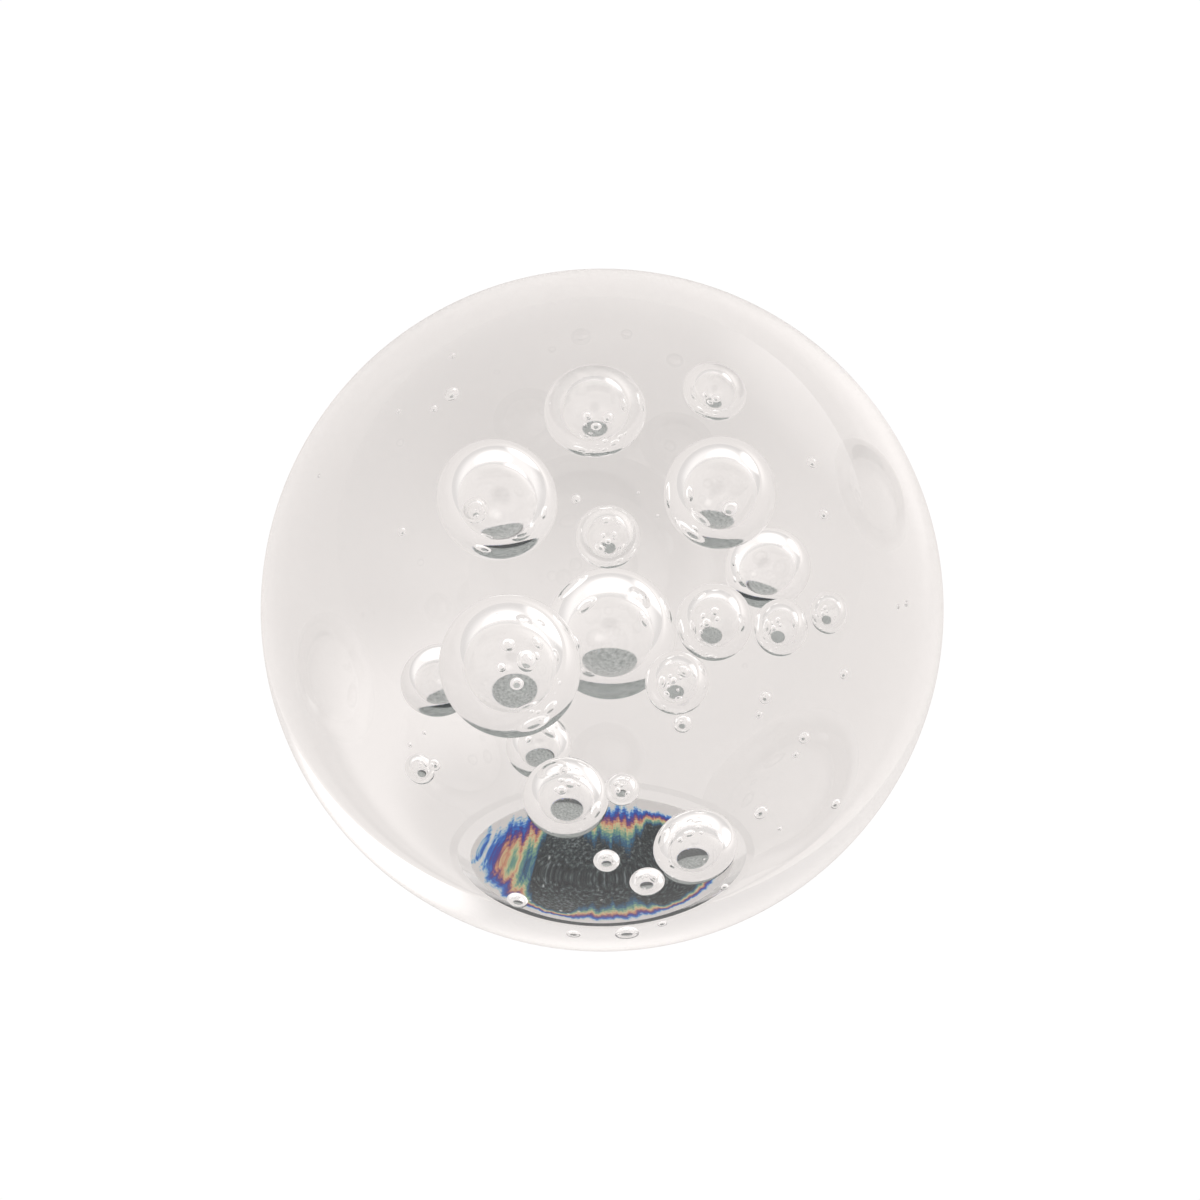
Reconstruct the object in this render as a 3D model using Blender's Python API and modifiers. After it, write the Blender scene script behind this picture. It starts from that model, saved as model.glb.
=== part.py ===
"""A clear glass ball paperweight with air bubbles, in metres, +Z up, resting on z = 0 round the Z axis.

The ball is three gathers of glass, one over the other. Each gather after the first goes on over a dusting
that gives off gas, so the bubbles lie where two gathers meet, with a pocket half in one and half in the other.
"""

import math

import bmesh
import bpy
from mathutils import Vector

# The ball, and the flat that is ground under it to stand on.
ball_radius = 0.040
base_flat_radius = 0.0175

# The two inner gathers. Each has a neck that ran down to the iron, and the ground flat cuts through both.
second_gather_radius = 0.024
second_neck_radius = 0.010
first_gather_radius = 0.014
first_neck_radius = 0.0045

# The room between one gather and the next, and between the gas of a bubble and its pocket, and the least
# glass left between the pockets of two bubbles that lie on different gathers.
seam_gap = 0.0003
pocket_gap = 0.0003
pocket_wall = 0.0002

# Each bubble is (azimuth, elevation, size, rise). The two angles, in degrees, are its place on the gather
# that it lies on. Size is its radius as a share of that gather's radius, because a bubble stretches with the
# glass round it. Rise is how far its centre stands out of the gather, as a share of the bubble's radius.
first_gather_bubbles = {
    "bubble_heart_large": (-139.5, 5.5, 0.422, -0.68),
    "bubble_heart_low_front": (-102.0, -26.0, 0.250, 0.51),
    "bubble_heart_low_rear": (-162.0, -71.5, 0.161, 0.18),
    "bubble_heart_small": (-61.5, 3.0, 0.058, 0.47),
    "bubble_front_right": (-40.5, 36.0, 0.246, 0.63),
    "bubble_rear_right": (58.5, -15.0, 0.273, 0.47),
    "bubble_rear_low": (86.0, -59.0, 0.308, 0.08),
}
second_gather_bubbles = {
    "bubble_crown": (95.0, 69.5, 0.192, -0.55),
    "bubble_crown_front": (-86.0, 70.5, 0.129, -0.17),
    "bubble_crown_right": (49.5, 47.5, 0.118, -0.59),
    "bubble_crown_left_small": (-163.5, 58.5, 0.053, 0.05),
    "bubble_front_centre": (-68.0, 32.0, 0.127, -0.56),
    "bubble_right": (-32.0, 29.5, 0.111, -0.59),
    "bubble_right_small": (-19.5, 23.0, 0.081, 0.0),
    "bubble_front_left_small": (-133.5, -2.0, 0.061, 0.0),
    "bubble_front_small": (-85.5, 8.0, 0.069, 0.0),
    "bubble_front_low": (-66.0, -27.0, 0.150, -0.68),
    "bubble_front_low_small": (-89.0, -16.5, 0.050, 0.0),
    "bubble_front_low_right_small": (-80.0, -23.5, 0.066, 0.65),
    "bubble_rear_left": (110.0, -33.0, 0.148, -0.63),
    "bubble_rear_right_low": (55.5, -40.5, 0.101, -0.57),
    "bubble_rear_low_left": (133.5, -55.5, 0.087, 0.0),
}

ball_centre = Vector((0, 0, math.sqrt(ball_radius**2 - base_flat_radius**2)))


def clear_scene():
    for thing in list(bpy.data.objects):
        bpy.data.objects.remove(thing, do_unlink=True)


def new_collection(name, shown):
    collection = bpy.data.collections.new(name)
    collection.hide_render = not shown
    bpy.context.scene.collection.children.link(collection)
    return collection


def clear_material(name, colour, ior):
    """A see-through material: glass has the refraction of soda-lime glass, and gas has none."""
    material = bpy.data.materials.new(name)
    material.use_nodes = True
    shader = material.node_tree.nodes["Principled BSDF"]
    shader.inputs["Base Color"].default_value = (*colour, 1)
    shader.inputs["Roughness"].default_value = 0.0
    shader.inputs["Metallic"].default_value = 0.0
    shader.inputs["Transmission Weight"].default_value = 1.0
    shader.inputs["IOR"].default_value = ior
    material.diffuse_color = (*colour, 0.4)
    return material


def arc_down(radius, end_radius, points):
    """A gather's outline, from its top on the axis round to where it is end_radius wide, low on its side."""
    end = math.pi - math.asin(end_radius / radius)
    angles = [end * i / points for i in range(points + 1)]
    return [(radius * math.sin(a), ball_centre.z + radius * math.cos(a)) for a in angles]


def gather_outline(radius, neck_radius, points):
    """A round gather with its neck, down to the ground flat."""
    return [*arc_down(radius, neck_radius, points), (neck_radius, 0.0)]


def turned(name, outline, steps, material, collection):
    """One closed solid, turned round the Z axis from an outline that starts and ends on the axis."""
    mesh = bpy.data.meshes.new(name)
    shape = bmesh.new()
    corners = [shape.verts.new((x, 0, z)) for x, z in outline]
    for upper, lower in zip(corners, corners[1:]):
        shape.edges.new((upper, lower))
    shape.to_mesh(mesh)
    shape.free()
    gather = bpy.data.objects.new(name, mesh)
    collection.objects.link(gather)
    screw = gather.modifiers.new("turn", "SCREW")
    screw.steps = steps
    screw.render_steps = steps
    screw.use_merge_vertices = True
    screw.merge_threshold = 1e-6
    screw.use_smooth_shade = True
    mesh.materials.append(material)
    return gather


def bubble_place(gather_radius, azimuth, elevation, size, rise, inner_bubbles):
    """(centre, radius) of a bubble on a gather of this radius. A bubble that would crowd one on the gather
    inside stands further out, with pocket_wall of glass between their pockets."""
    radius = size * gather_radius
    flat = math.cos(math.radians(elevation))
    outward = Vector((
        flat * math.cos(math.radians(azimuth)),
        flat * math.sin(math.radians(azimuth)),
        math.sin(math.radians(elevation)),
    ))
    out = gather_radius + rise * radius
    for inner_centre, inner_radius in inner_bubbles:
        reach = inner_centre - ball_centre
        along = outward.dot(reach)
        aside_squared = reach.length_squared - along**2
        apart_squared = (radius + inner_radius + 2 * pocket_gap + pocket_wall) ** 2
        if aside_squared < apart_squared:
            out = max(out, along + math.sqrt(apart_squared - aside_squared))
    return ball_centre + out * outward, radius


def round_body(name, centre, radius, rings, material, collection):
    """A ball at centre, with its mesh round its own origin."""
    mesh = bpy.data.meshes.new(name)
    shape = bmesh.new()
    bmesh.ops.create_uvsphere(shape, u_segments=2 * rings, v_segments=rings, radius=radius)
    shape.to_mesh(mesh)
    shape.free()
    mesh.shade_smooth()
    mesh.materials.append(material)
    body = bpy.data.objects.new(name, mesh)
    body.location = centre
    collection.objects.link(body)
    return body


def rings_for(radius):
    """How finely a bubble is cut: the large ones need more rings to look round."""
    if radius > 0.0045:
        return 10
    return 8 if radius > 0.0025 else 6


def add_bubbles(bubbles, gather_radius, inner_bubbles, material, parts, pockets):
    """Each bubble's gas, and the cutter for the pocket it lies in. It returns their places."""
    placed = []
    for name, place in bubbles.items():
        centre, radius = bubble_place(gather_radius, *place, inner_bubbles)
        rings = rings_for(radius)
        round_body(name, centre, radius, rings, material, parts)
        pocket = round_body("pocket_of_" + name, centre, radius + pocket_gap, rings, material, pockets)
        pocket.hide_render = True
        pocket.display_type = "WIRE"
        placed.append((centre, radius))
    return placed


def cut_pockets(gather, pockets):
    cut = gather.modifiers.new(pockets.name, "BOOLEAN")
    cut.operation = "DIFFERENCE"
    cut.operand_type = "COLLECTION"
    cut.collection = pockets


def make_first_gather(material, parts, pockets):
    outline = [*gather_outline(first_gather_radius, first_neck_radius, 14), (0.0, 0.0)]
    gather = turned("first_gather", outline, 28, material, parts)
    cut_pockets(gather, pockets)


def make_second_gather(material, parts, first_pockets, second_pockets):
    outer = gather_outline(second_gather_radius, second_neck_radius, 18)
    hollow = gather_outline(first_gather_radius + seam_gap, first_neck_radius + seam_gap, 14)
    gather = turned("second_gather", outer + hollow[::-1], 36, material, parts)
    cut_pockets(gather, first_pockets)
    cut_pockets(gather, second_pockets)


def make_casing_gather(material, parts, pockets):
    outer = arc_down(ball_radius, base_flat_radius, 26)
    hollow = gather_outline(second_gather_radius + seam_gap, second_neck_radius + seam_gap, 18)
    gather = turned("casing_gather", outer + hollow[::-1], 52, material, parts)
    cut_pockets(gather, pockets)


def build():
    clear_scene()
    parts = new_collection("bubble_paperweight", shown=True)
    first_pockets = new_collection("first_gather_pockets", shown=False)
    second_pockets = new_collection("second_gather_pockets", shown=False)
    gas = clear_material("trapped_gas", (1.0, 1.0, 1.0), 1.0)
    inner = add_bubbles(first_gather_bubbles, first_gather_radius, [], gas, parts, first_pockets)
    add_bubbles(second_gather_bubbles, second_gather_radius, inner, gas, parts, second_pockets)
    make_first_gather(clear_material("first_glass", (0.96, 0.96, 0.95), 1.52), parts, first_pockets)
    second_glass = clear_material("second_glass", (0.97, 0.97, 0.96), 1.52)
    make_second_gather(second_glass, parts, first_pockets, second_pockets)
    make_casing_gather(clear_material("casing_glass", (0.98, 0.98, 0.97), 1.52), parts, second_pockets)


build()
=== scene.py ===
"""A clear glass ball paperweight, flattened under its base, with gas bubbles trapped between its
gathers. It stands on a plain pale floor in soft studio light."""

import math

import bmesh
import bpy
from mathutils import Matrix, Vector


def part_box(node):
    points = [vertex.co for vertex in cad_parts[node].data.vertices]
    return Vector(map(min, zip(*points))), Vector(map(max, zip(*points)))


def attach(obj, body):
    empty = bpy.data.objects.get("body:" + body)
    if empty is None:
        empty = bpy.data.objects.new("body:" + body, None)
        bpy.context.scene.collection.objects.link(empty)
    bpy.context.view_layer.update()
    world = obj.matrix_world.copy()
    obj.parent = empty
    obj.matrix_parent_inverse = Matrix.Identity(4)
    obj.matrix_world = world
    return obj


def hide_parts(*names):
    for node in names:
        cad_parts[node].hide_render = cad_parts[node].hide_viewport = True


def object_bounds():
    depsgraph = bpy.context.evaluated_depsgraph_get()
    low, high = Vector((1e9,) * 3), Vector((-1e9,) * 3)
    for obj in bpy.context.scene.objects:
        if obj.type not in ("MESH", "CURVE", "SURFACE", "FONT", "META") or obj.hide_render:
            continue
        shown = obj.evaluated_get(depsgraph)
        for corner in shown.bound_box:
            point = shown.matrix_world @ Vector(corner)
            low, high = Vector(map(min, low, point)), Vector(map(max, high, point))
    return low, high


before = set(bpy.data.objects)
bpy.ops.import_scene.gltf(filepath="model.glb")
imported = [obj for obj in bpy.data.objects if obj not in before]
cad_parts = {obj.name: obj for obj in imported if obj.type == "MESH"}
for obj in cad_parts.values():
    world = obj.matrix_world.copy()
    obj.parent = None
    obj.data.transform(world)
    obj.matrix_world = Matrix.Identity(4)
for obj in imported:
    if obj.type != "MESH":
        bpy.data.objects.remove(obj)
cad_low, cad_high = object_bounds()


# Glass body
# Three gathers of clear soda-lime crown glass, each taken over the last and run together hot, so
# that they carry light as one body. The ball is block-shaped, fire-polished and fully clear.
ball_radius = (cad_high.x - cad_low.x) / 2
ball_centre = Vector((0, 0, cad_high.z - ball_radius))
flat_radius = math.sqrt(ball_radius**2 - ball_centre.z**2)
glass_index = 1.52
ball_subdivisions = 7
# The rim of the flat is softened by the grinding. Each step round it is how far in and how high it
# lies, as shares of rim_width. The flat then goes in by rings, each a share of the one outside it.
rim_width = 0.0004
rim_top = 0.7
rim_steps = ((0.25, 0.3), (0.75, 0.0))
flat_rings = (0.85, 0.8, 0.75, 0.65, 0.5, 0.3)
flat_level = 1e-6
sharp_edge = math.radians(20)


class Shade:
    """One socket in a finish. Arithmetic on it adds Math nodes, and node() adds any other."""

    def __init__(self, tree, socket=None):
        self.tree = tree
        self.socket = socket

    def node(self, kind, settings=None, sockets=None, output=0):
        made = self.tree.nodes.new(kind)
        for name, value in (settings or {}).items():
            if name == "stops":
                ramp = made.color_ramp
                while len(ramp.elements) < len(value):
                    ramp.elements.new(1.0)
                for element, (place, colour) in zip(ramp.elements, value):
                    element.position = place
                    element.color = (*colour, 1.0)
            else:
                setattr(made, name, value)
        for name, value in (sockets or {}).items():
            if isinstance(value, Shade):
                self.tree.links.new(value.socket, made.inputs[name])
            else:
                made.inputs[name].default_value = value
        return Shade(self.tree, made.outputs[output] if made.outputs else None)

    def maths(self, operation, *values):
        return self.node("ShaderNodeMath", {"operation": operation}, dict(enumerate(values)))

    def __add__(self, other):
        return self.maths("ADD", self, other)

    def __sub__(self, other):
        return self.maths("SUBTRACT", self, other)

    def __rsub__(self, other):
        return self.maths("SUBTRACT", other, self)

    def __mul__(self, other):
        return self.maths("MULTIPLY", self, other)

    def __truediv__(self, other):
        return self.maths("DIVIDE", self, other)

    __radd__ = __add__
    __rmul__ = __mul__

    def step(self, start, end):
        """0 before start, 1 after end, and smooth between them."""
        return self.node(
            "ShaderNodeMapRange",
            {"interpolation_type": "SMOOTHSTEP"},
            {"Value": self, "From Min": start, "From Max": end},
        )


def new_finish(name):
    """(the material, a Shade to build it with), with no nodes in it yet."""
    material = bpy.data.materials.new(name)
    material.use_nodes = True
    material.node_tree.nodes.clear()
    return material, Shade(material.node_tree)


def surface(shade, shader):
    shade.node("ShaderNodeOutputMaterial", sockets={"Surface": shader})


clear_glass, shade = new_finish("clear_glass")
surface(
    shade,
    shade.node(
        "ShaderNodeBsdfGlass",
        sockets={"Color": (1, 1, 1, 1), "Roughness": 0.0, "IOR": glass_index},
    ),
)


def new_piece(name, mesh_maker, finishes):
    """An object with the mesh that mesh_maker leaves, shaded smooth, in the scene."""
    mesh = bpy.data.meshes.new(name)
    mesh_maker.to_mesh(mesh)
    mesh_maker.free()
    mesh.shade_smooth()
    for finish in finishes:
        mesh.materials.append(finish)
    piece = bpy.data.objects.new(name, mesh)
    bpy.context.scene.collection.objects.link(piece)
    return piece


def drawn_in(bm, edges, scale, height):
    """Extrudes a ring of edges inwards to a share of its radius, at a height."""
    made = bmesh.ops.extrude_edge_only(bm, edges=edges)["geom"]
    for vert in [g for g in made if isinstance(g, bmesh.types.BMVert)]:
        vert.co.x *= scale
        vert.co.y *= scale
        vert.co.z = height
    return [g for g in made if isinstance(g, bmesh.types.BMEdge)]


body = bmesh.new()
bmesh.ops.create_icosphere(body, subdivisions=ball_subdivisions, radius=ball_radius)
bmesh.ops.translate(body, verts=body.verts, vec=ball_centre)
cut = bmesh.ops.bisect_plane(
    body,
    geom=[*body.verts, *body.edges, *body.faces],
    plane_co=(0, 0, rim_width * rim_top),
    plane_no=(0, 0, 1),
    clear_inner=True,
)
ring = [g for g in cut["geom_cut"] if isinstance(g, bmesh.types.BMEdge)]
for inward, upward in rim_steps:
    ring = drawn_in(body, ring, 1 - inward * rim_width / flat_radius, upward * rim_width)
for share in flat_rings:
    ring = drawn_in(body, ring, share, 0.0)
bmesh.ops.contextual_create(body, geom=ring)
for face in body.faces:
    if face.calc_center_median().z < flat_level:
        face.material_index = 1
bmesh.ops.recalc_face_normals(body, faces=body.faces)


# Ground base
# The pontil scar is ground away on a wheel and the flat is smoothed but left unpolished, with fine
# pits. Its colours are painted light: grey from above, as painted shade of the floor under the
# ball seen through it, and nearly black from the side, where the glass mirrors inwards, as painted
# dark.
grain_fineness = (8000.0, 15000.0, 0.0)
grain_detail = {"Scale": 1.0, "Detail": 3.0, "Roughness": 0.65}
blotch_detail = {"Scale": 420.0, "Detail": 5.0, "Roughness": 0.65}
pit_strength = 0.4
pit_depth = 0.00002
ground_roughness = 0.6
grain_in_grey = 0.45
painted_shade_greys = [
    (0.34, (0.10, 0.12, 0.12)),
    (0.47, (0.42, 0.47, 0.46)),
    (0.60, (0.80, 0.84, 0.83)),
]
ground_glass, shade = new_finish("ground_glass")
place = shade.node("ShaderNodeTexCoord", output=3)
across = shade.node("ShaderNodeSeparateXYZ", sockets={0: place}, output=0) / flat_radius
along = shade.node("ShaderNodeSeparateXYZ", sockets={0: place}, output=1) / flat_radius
out_from_middle = shade.maths("SQRT", across * across + along * along)


def stretched_noise(fineness, detail):
    """Noise over the flat, with a fineness of its own in each direction."""
    stretched = shade.node(
        "ShaderNodeVectorMath", {"operation": "MULTIPLY"}, {0: place, 1: fineness}
    )
    return shade.node("ShaderNodeTexNoise", sockets={"Vector": stretched, **detail})


grain = stretched_noise(grain_fineness, grain_detail)
blotches = shade.node("ShaderNodeTexNoise", sockets={"Vector": place, **blotch_detail})
pits = shade.node(
    "ShaderNodeBump",
    sockets={"Strength": pit_strength, "Distance": pit_depth, "Height": grain},
)
# Painted shade: this grey stands for the floor in the ball's shadow seen through the flat; its
# grain and blotches are the flat's own.
painted_shade_grey_ground = shade.node(
    "ShaderNodeBsdfPrincipled",
    sockets={
        "Base Color": shade.node(
            "ShaderNodeValToRGB",
            {"stops": painted_shade_greys},
            {0: grain * grain_in_grey + blotches * (1 - grain_in_grey)},
        ),
        "Roughness": ground_roughness,
        "Normal": pits,
    },
)

# The band of colour near the rim at the back of the flat is painted light: the colours of light
# split where the glass mirrors inwards, painted at one fixed place, with grinding marks running in
# from the rim. The band is deepest towards the left, and ends in a point at each side. Its places
# and depths are shares of flat_radius, measured from the middle of the flat.
mark_fineness = (4200.0, 420.0, 0.0)
mark_detail = {"Scale": 1.0, "Detail": 2.0, "Roughness": 0.5}
hump_start, hump_end = -0.06, 0.11
left_end = -0.10
hump_fade, edge_fade = 0.03, 0.05
thin_band, hump_band, left_band = 0.032, 0.055, 0.065
band_rim, left_rim = 0.985, 0.013
limits_start, limits_end, beyond_limits = 0.13, 0.16, 4.0
left_limit, left_limit_width = -0.278, 0.110
right_limit, right_limit_width = 0.215, 0.035
limit_blend = 0.25
mark_strength, blotch_strength, grain_strength = 0.75, 0.30, 0.45
colour_fade = (0.80, 1.10)
# Painted light: the colours of split light, from the pale edge of the band in to the painted dark.
painted_split_light_colours = [
    (0.00, (0.97, 0.96, 0.95)),
    (0.08, (0.42, 0.70, 0.92)),
    (0.15, (0.02, 0.22, 0.78)),
    (0.28, (0.02, 0.05, 0.45)),
    (0.37, (0.22, 0.05, 0.22)),
    (0.47, (0.78, 0.34, 0.20)),
    (0.57, (0.86, 0.76, 0.42)),
    (0.68, (0.24, 0.50, 0.34)),
    (0.80, (0.03, 0.16, 0.32)),
    (1.00, (0.004, 0.012, 0.020)),
]
marks = stretched_noise(mark_fineness, mark_detail)
hump = across.step(hump_start, hump_start + hump_fade) * (hump_end - across).step(0.0, edge_fade)
left = (left_end - across).step(0.0, edge_fade)
band = thin_band + hump * hump_band + left * left_band
from_rim = band_rim + left * left_rim - out_from_middle
past_limits = from_rim.step(limits_start, limits_end) * beyond_limits
from_left = shade.maths("ABSOLUTE", across - left_limit) / left_limit_width + past_limits
from_right = shade.maths("ABSOLUTE", across - right_limit) / right_limit_width + past_limits
depth_in = shade.maths("SMOOTH_MIN", from_rim / band, from_left, limit_blend)
depth_in = shade.maths("SMOOTH_MIN", depth_in, from_right, limit_blend)
depth_in = depth_in + (marks - 0.5) * mark_strength
depth_in = depth_in + (blotches - 0.5) * blotch_strength
depth_in = depth_in + (grain - 0.5) * grain_strength
split_light_paint = shade.node("ShaderNodeValToRGB", {"stops": painted_split_light_colours}, {0: depth_in})

# Past the band the flat is painted nearly black, as painted shade for the dark that the glass
# mirrors inwards there, with pale grains and a few bright chips in it.
painted_dark_tones = [
    (0.40, (0.003, 0.007, 0.009)),
    (0.48, (0.012, 0.024, 0.028)),
    (0.55, (0.050, 0.072, 0.080)),
    (0.63, (0.22, 0.26, 0.27)),
]
grain_in_dark = 0.7
chip_scale = 2600.0
chip_edge = (0.10, 0.17)
chipped_patches = (0.52, 0.60)
chip_colour = (0.85, 0.9, 0.9, 1)
painted_darks = shade.node(
    "ShaderNodeValToRGB",
    {"stops": painted_dark_tones},
    {0: grain * grain_in_dark + blotches * (1 - grain_in_dark)},
)
painted = shade.node(
    "ShaderNodeMix",
    {"data_type": "RGBA"},
    {0: 1.0 - depth_in.step(*colour_fade), 6: painted_darks, 7: split_light_paint},
    output=2,
)
chips = shade.node(
    "ShaderNodeTexVoronoi", {"feature": "F1"}, {"Vector": place, "Scale": chip_scale}, output=0
)
with_chips = shade.node(
    "ShaderNodeMix",
    {"data_type": "RGBA"},
    {
        0: (1.0 - chips.step(*chip_edge)) * blotches.step(*chipped_patches),
        6: painted,
        7: chip_colour,
    },
    output=2,
)
# Painted shade: the flat's nearly black face where the glass mirrors inwards, with the painted
# split light at its rim.
painted_dark_ground = shade.node(
    "ShaderNodeBsdfPrincipled",
    sockets={"Base Color": with_chips, "Roughness": ground_roughness, "Normal": pits},
)
# The mix shows the painted dark where the glass mirrors inwards, and the painted grey shade
# elsewhere.
mirrored = shade.node("ShaderNodeFresnel", sockets={"IOR": glass_index})
surface(
    shade, shade.node("ShaderNodeMixShader", sockets={0: mirrored, 1: painted_shade_grey_ground, 2: painted_dark_ground})
)

ball = new_piece("glass_ball", body, [clear_glass, ground_glass])
ball.data.set_sharp_from_angle(angle=sharp_edge)
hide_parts("casing_gather", "second_gather", "first_gather")
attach(ball, "root")


# Trapped bubbles
# Gas from soda dusted on each gather, closed in by the next one and drawn round by the hot glass.
# Each wall is bare glass against gas, so its rim mirrors the room and its middle shrinks it.
wall_subdivisions = 6
bubble_squeeze = 0.02
gas_wall, shade = new_finish("trapped_gas")
surface(
    shade,
    shade.node(
        "ShaderNodeBsdfGlass",
        sockets={"Color": (1, 1, 1, 1), "Roughness": 0.0, "IOR": 1 / glass_index},
    ),
)


def blown_round(bm, centre, radius, subdivisions, squeeze):
    """Adds one bubble wall, squeezed a little along the line from the middle of the ball."""
    made = bmesh.ops.create_icosphere(bm, subdivisions=subdivisions, radius=radius)["verts"]
    outward = (centre - ball_centre).normalized()
    for vert in made:
        vert.co -= outward * vert.co.dot(outward) * squeeze
        vert.co += centre


for name in sorted(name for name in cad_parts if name.startswith("bubble_")):
    low, high = (Vector(corner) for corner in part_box(name))
    wall = bmesh.new()
    radius = (high.x - low.x) / 2
    blown_round(wall, (low + high) / 2, radius, wall_subdivisions, bubble_squeeze)
    bubble = new_piece(name + "_wall", wall, [gas_wall])
    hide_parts(name)
    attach(bubble, "root")


# Seeds
# Specks of gas too small to rise out of the melt. Most lie where the second gather met the casing,
# and a few drift in the casing itself. Each is its azimuth, elevation and radius in millimetres.
second_shell = 0.0240
casing_shell = 0.0272
seed_subdivisions = 4
seed_squeeze = 0.12
seed_groups = {
    "seeds_upper_left": (
        second_shell,
        ((139, 43, 0.71), (145, 41, 0.36), (144, 28, 0.20), (125, 28, 0.28), (-173, 39, 0.39)),
    ),
    "seeds_upper_right": (
        second_shell,
        ((-120, 78, 0.45), (18, 35, 0.53), (3, 33, 0.49), (-47, 71, 0.17), (-46, 78, 0.16)),
    ),
    "seeds_right": (
        second_shell,
        (
            (-40, 3, 0.59),
            (-43, 0, 0.30),
            (-47, 20, 0.62),
            (-50, 17, 0.36),
            (-24, 8, 0.49),
            (-53, -12, 0.68),
            (-47, -23, 0.20),
            (-27, -32, 0.44),
        ),
    ),
    "seeds_low": (
        second_shell,
        (
            (-113, -45, 0.84),
            (-57, -43, 0.33),
            (-130, 2, 0.62),
            (-137, 3, 0.24),
            (-134, 9, 0.2),
            (-99, 13, 0.39),
        ),
    ),
    "seeds_casing": (
        casing_shell,
        (
            (-84, -43, 1.05),
            (-97, -44, 0.60),
            (-76, -39, 0.42),
            (-3, 6, 0.27),
            (-6, 9, 0.22),
            (160, 16, 0.18),
        ),
    ),
}


def towards(azimuth, elevation):
    """The direction at these two angles, in degrees."""
    turn, tilt = math.radians(azimuth), math.radians(elevation)
    level = math.cos(tilt)
    return Vector((level * math.cos(turn), level * math.sin(turn), math.sin(tilt)))


for name, (shell, specks) in seed_groups.items():
    wall = bmesh.new()
    for azimuth, elevation, radius_mm in specks:
        centre = ball_centre + shell * towards(azimuth, elevation)
        blown_round(wall, centre, radius_mm / 1000, seed_subdivisions, seed_squeeze)
    seeds = new_piece(name, wall, [gas_wall])
    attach(seeds, "root")


# Floor, light and camera
# A wide pale floor in a softly lit tent. The camera sees both as plain white. The glass sees the
# tent's soft light and a floor that glows with painted light, with a painted shadow behind the
# ball and painted pools of light, which shade its edges and draw its bubbles.
floor_reach = 1.5
floor_drop = 0.0001
floor_colour = (0.09, 0.086, 0.083, 1)
floor_roughness = 0.9
floor_gloss = 0.2
floor_light_colour = (1.0, 0.955, 0.93)
floor_light = 0.68
plain_white = (1, 1, 1, 1)
plain_white_light = 1.02
# Each painted patch is x, y, the radius that it is even within, the radius it fades out at, and
# how much lighter it makes the floor. The first is a painted shadow, the others painted pools of
# light.
painted_floor_shadow_and_light = (
    (0.0, 0.035, 0.003, 0.0085, -0.14),
    (-0.0048, 0.0235, 0.0008, 0.0042, 0.20),
    (0.15, 0.14, 0.03, 0.16, 0.30),
)
floor_mesh = bmesh.new()
bmesh.ops.create_grid(floor_mesh, x_segments=8, y_segments=8, size=floor_reach)
bmesh.ops.translate(floor_mesh, verts=floor_mesh.verts, vec=(0, 0, -floor_drop))
floor_painted_light, shade = new_finish("floor_painted_light")
spot = shade.node("ShaderNodeTexCoord", output=3)


def pool(x, y, even, fades):
    """1 on a round patch of the floor, fading to 0 at its outer radius."""
    away = shade.node(
        "ShaderNodeVectorMath", {"operation": "DISTANCE"}, {0: spot, 1: (x, y, 0.0)}, output=1
    )
    return 1.0 - away.step(even, fades)


# Painted light and shade on the floor: its glow, a painted shadow and painted pools of light, seen
# only through the glass.
painted_floor_light_and_shade = 1.0
for x, y, even, fades, lighter in painted_floor_shadow_and_light:
    painted_floor_light_and_shade = painted_floor_light_and_shade + pool(x, y, even, fades) * lighter
painted_light_floor = shade.node(
    "ShaderNodeBsdfPrincipled",
    sockets={
        "Base Color": floor_colour,
        "Roughness": floor_roughness,
        "Specular IOR Level": floor_gloss,
        "Emission Color": shade.node(
            "ShaderNodeVectorMath", {"operation": "SCALE"}, {0: floor_light_colour, 3: painted_floor_light_and_shade}
        ),
        "Emission Strength": floor_light,
    },
)
bright = shade.node(
    "ShaderNodeEmission", sockets={"Color": plain_white, "Strength": plain_white_light}
)
seen = shade.node("ShaderNodeLightPath", output=0)
surface(shade, shade.node("ShaderNodeMixShader", sockets={0: seen, 1: painted_light_floor, 2: bright}))
floor = new_piece("floor", floor_mesh, [floor_painted_light])

tent_colour = (1.0, 0.96, 0.94, 1)
tent_light = 0.72
roof_light = 0.30
roof_start, roof_end = 0.08, 0.50
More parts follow.
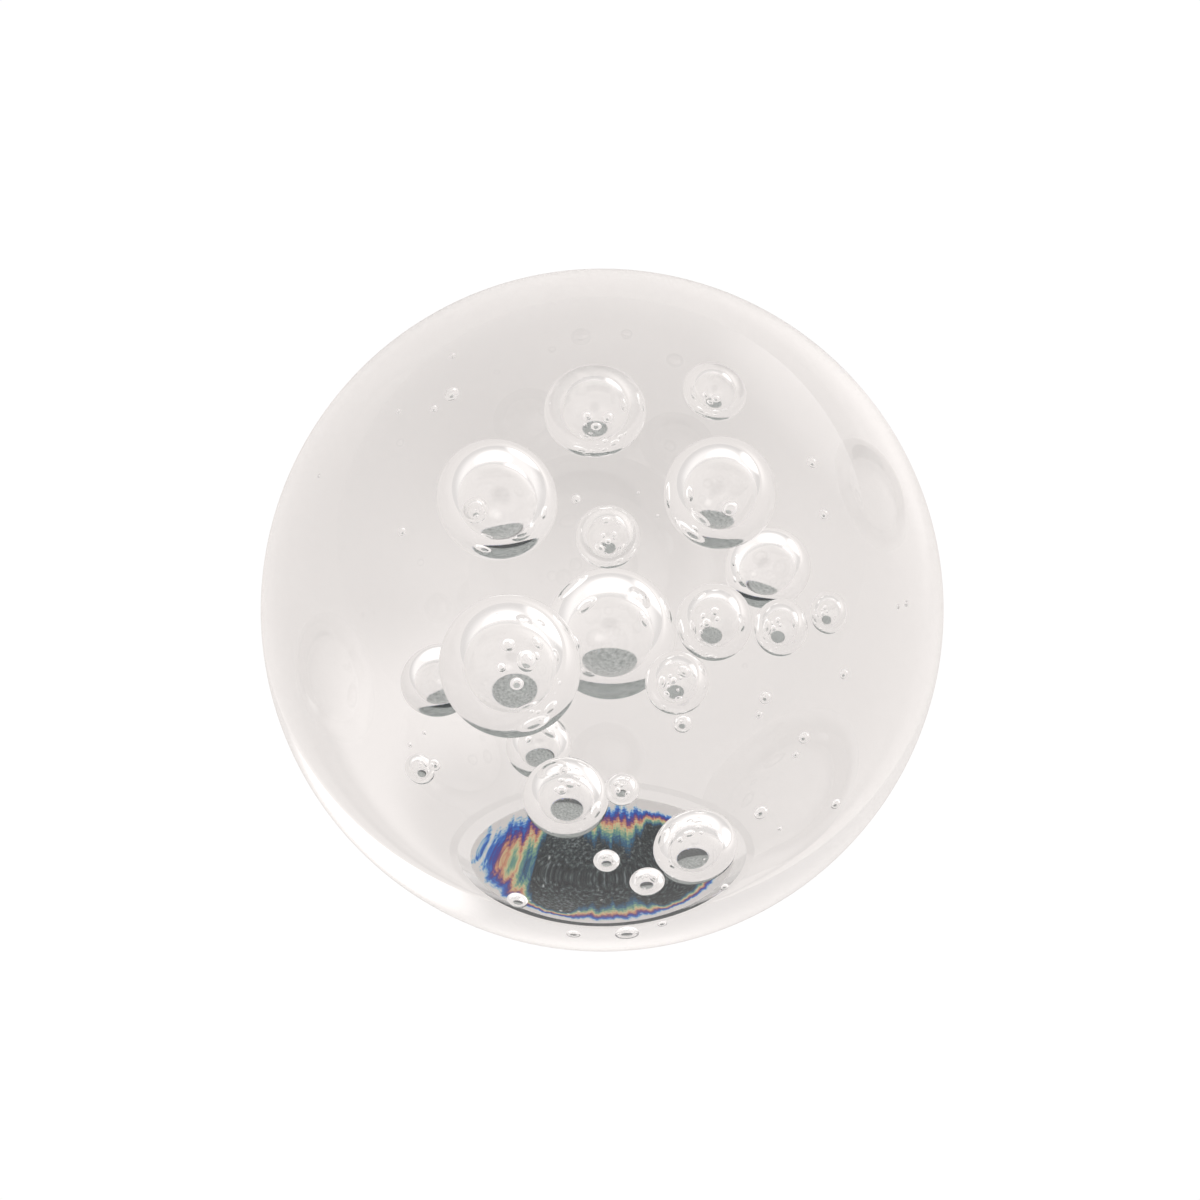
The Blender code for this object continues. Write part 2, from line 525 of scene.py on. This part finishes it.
# Each window is its azimuth and elevation, the angle that it is even within, the angle it fades
# out at, all in degrees, and its brightness.
windows = (
    (225, 50, 5, 50, 0.50),
    (90, 46, 12, 34, 0.32),
    (48, 2, 6, 26, 0.9),
)
world = bpy.data.worlds.new("studio")
bpy.context.scene.world = world
world.use_nodes = True
world.node_tree.nodes.clear()
shade = Shade(world.node_tree)
direction = shade.node("ShaderNodeTexCoord")
height = shade.node("ShaderNodeSeparateXYZ", sockets={0: direction}, output=2)


def soft_window(azimuth, elevation, even, fades):
    """1 inside a round patch of the sky, fading to 0 at its outer angle."""
    facing = shade.node(
        "ShaderNodeVectorMath",
        {"operation": "DOT_PRODUCT"},
        {0: direction, 1: towards(azimuth, elevation)},
        output=1,
    )
    return facing.step(math.cos(math.radians(fades)), math.cos(math.radians(even)))


glow = tent_light + height.step(roof_start, roof_end) * roof_light
for azimuth, elevation, even, fades, brightness in windows:
    glow = glow + soft_window(azimuth, elevation, even, fades) * brightness
tent = shade.node("ShaderNodeBackground", sockets={"Color": tent_colour, "Strength": glow})
white = shade.node(
    "ShaderNodeBackground", sockets={"Color": plain_white, "Strength": plain_white_light}
)
seen = shade.node("ShaderNodeLightPath", output=0)
backdrop = shade.node("ShaderNodeMixShader", sockets={0: seen, 1: tent, 2: white})
shade.node("ShaderNodeOutputWorld", sockets={"Surface": backdrop})

looking_down = math.radians(53)
camera_distance = 16 * ball_radius
sensor_width = 36
lens_length = 163.6
sideways_shift, upward_shift = -0.0018, 0.0084
light_bounces = 32
camera_data = bpy.data.cameras.new("camera")
camera = bpy.data.objects.new("camera", camera_data)
bpy.context.scene.collection.objects.link(camera)
backward = Vector((0, -math.cos(looking_down), math.sin(looking_down)))
camera.location = ball_centre + camera_distance * backward
camera.rotation_mode = "QUATERNION"
camera.rotation_quaternion = (ball_centre - camera.location).to_track_quat("-Z", "Y")
camera_data.sensor_width = sensor_width
camera_data.lens = lens_length
camera_data.shift_x = sideways_shift
camera_data.shift_y = upward_shift
bpy.context.scene.camera = camera

scene = bpy.context.scene
scene.view_settings.view_transform = "Standard"
scene.cycles.max_bounces = light_bounces
scene.cycles.transmission_bounces = light_bounces
scene.cycles.glossy_bounces = light_bounces
